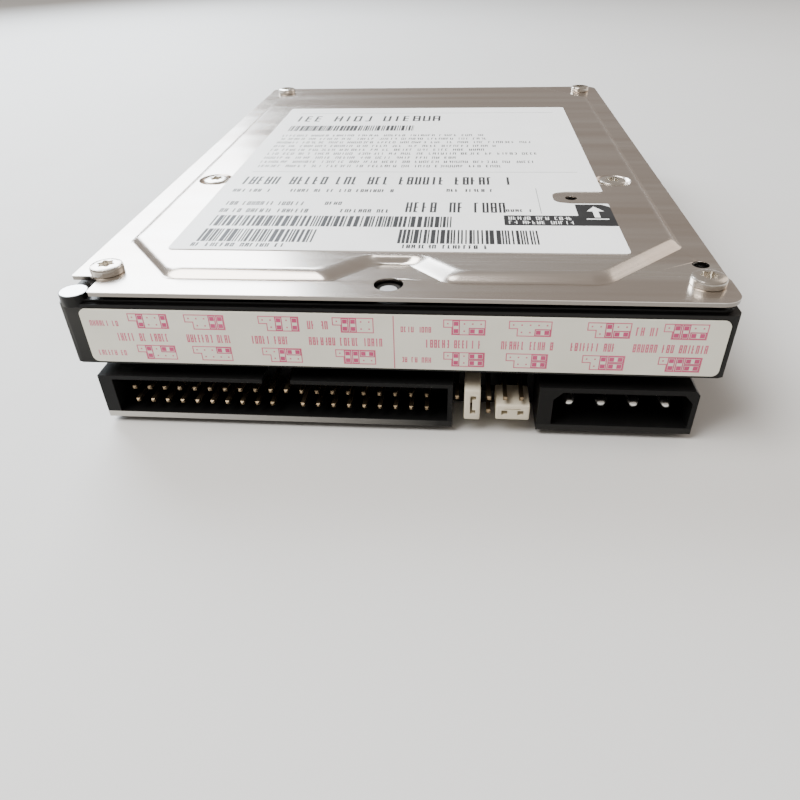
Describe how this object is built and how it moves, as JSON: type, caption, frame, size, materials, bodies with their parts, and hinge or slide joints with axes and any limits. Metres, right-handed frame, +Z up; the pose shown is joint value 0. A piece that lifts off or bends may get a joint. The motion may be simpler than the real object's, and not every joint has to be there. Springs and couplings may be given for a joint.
{
  "type": "hard disk drive",
  "caption": "Internal 3.5-inch hard disk drive with parallel data connector, jumper block and power socket; stamped cover over a cast base with spinning discs and a swinging head arm.",
  "frame": {"origin": "centre of the overall box in plan, on the plane of the bottom rails that the drive rests on", "axes": "+Z up through the cover, -Y the connector end, +X to the right when facing the connector end"},
  "size_m": [0.1016, 0.1466, 0.0254],
  "materials": {
    "black_casting": "die cast, black electrocoat, semi-gloss",
    "stainless_cover": "rolled stainless sheet, satin bright",
    "gasket_rubber": "moulded seal",
    "label_film": "coated label stock, printed",
    "board_laminate": "green solder mask",
    "foam_sheet": "thin foam",
    "black_moulding": "glass-filled moulding",
    "gold_contacts": "flash gold plated",
    "tin_contacts": "tin plated",
    "chip_body": "epoxy package",
    "bare_aluminium": "machined",
    "electrical_steel": "stacked laminations",
    "copper_wire": "enamelled copper winding",
    "bearing_steel": "ground",
    "sintered_magnet": "nickel plated magnet",
    "disc_surface": "mirror polished",
    "plated_screw": "bright plated",
    "yoke_steel": "nickel plated",
    "flex_film": "polyimide film",
    "ramp_plastic": "low friction moulding",
    "filter_felt": "fine fibre pad",
    "spring_steel": "etched foil",
    "slider_ceramic": "lapped",
    "cream_moulding": "small moulded block"
  },
  "bodies": {
    "base": {"base_casting": "black_casting", "board_insulator": "foam_sheet", "board_screw_1": "plated_screw", "board_screw_2": "plated_screw", "board_screw_3": "plated_screw", "board_screw_4": "plated_screw", "buffer_memory": "chip_body", "circuit_board": "board_laminate", "connector_housing": "black_moulding", "controller_chip": "chip_body", "cover_gasket": "gasket_rubber", "cover_screw_1": "plated_screw", "cover_screw_2": "plated_screw", "cover_screw_3": "plated_screw", "cover_screw_4": "plated_screw", "cover_screw_5": "plated_screw", "cover_screw_6": "plated_screw", "end_label": "label_film", "flex_cable": "flex_film", "head_connector": "black_moulding", "ide_pins": "gold_contacts", "jumper_pins": "gold_contacts", "load_ramp": "ramp_plastic", "magnet_lower": "sintered_magnet", "magnet_plate_lower": "yoke_steel", "magnet_plate_upper": "yoke_steel", "motor_driver": "chip_body", "motor_flange": "bare_aluminium", "pivot_shaft": "bearing_steel", "power_pins": "tin_contacts", "recirculation_filter": "filter_felt", "spindle_bearing_lower": "bearing_steel", "spindle_bearing_upper": "bearing_steel", "stator_core": "electrical_steel", "stator_windings": "copper_wire", "top_cover": "stainless_cover", "top_label": "label_film"},
    "rotor": {"spindle_shaft": "bearing_steel", "spindle_hub": "bare_aluminium", "rotor_magnet": "sintered_magnet", "platter_lower": "disc_surface", "platter_upper": "disc_surface", "platter_spacer": "bare_aluminium", "disc_clamp": "bare_aluminium", "clamp_screw": "plated_screw"},
    "arm": {"actuator_arm": "bare_aluminium", "pivot_bearing": "bearing_steel", "voice_coil": "copper_wire", "suspension_1": "spring_steel", "suspension_2": "spring_steel", "suspension_3": "spring_steel", "suspension_4": "spring_steel", "head_slider_1": "slider_ceramic", "head_slider_2": "slider_ceramic", "head_slider_3": "slider_ceramic", "head_slider_4": "slider_ceramic"},
    "latch": {"actuator_latch": "ramp_plastic"},
    "upright_shunt": {"jumper_shunt_upright": "cream_moulding"},
    "flat_shunt": {"jumper_shunt_flat": "cream_moulding"}
  },
  "joints": [
    {"name": "spindle_spin", "type": "hinge", "parent": "base", "child": "rotor", "pos_m": [0, 0.02245, 0.014], "axis": [0, 0, 1], "continuous": true},
    {"name": "actuator_swing", "type": "hinge", "parent": "base", "child": "arm", "pos_m": [0.014, -0.03175, 0.0146], "axis": [0, 0, -1], "range_deg": [0, 36.5]},
    {"name": "latch_pivot", "type": "hinge", "parent": "base", "child": "latch", "pos_m": [0.0406, -0.03225, 0.0146], "axis": [0, 0, -1], "range_deg": [0, 20]},
    {"name": "upright_shunt_pull", "type": "slide", "parent": "base", "child": "upright_shunt", "axis": [0, -1, 0], "range_m": [0, 0.008]},
    {"name": "flat_shunt_pull", "type": "slide", "parent": "base", "child": "flat_shunt", "axis": [0, -1, 0], "range_m": [0, 0.008]}
  ]
}
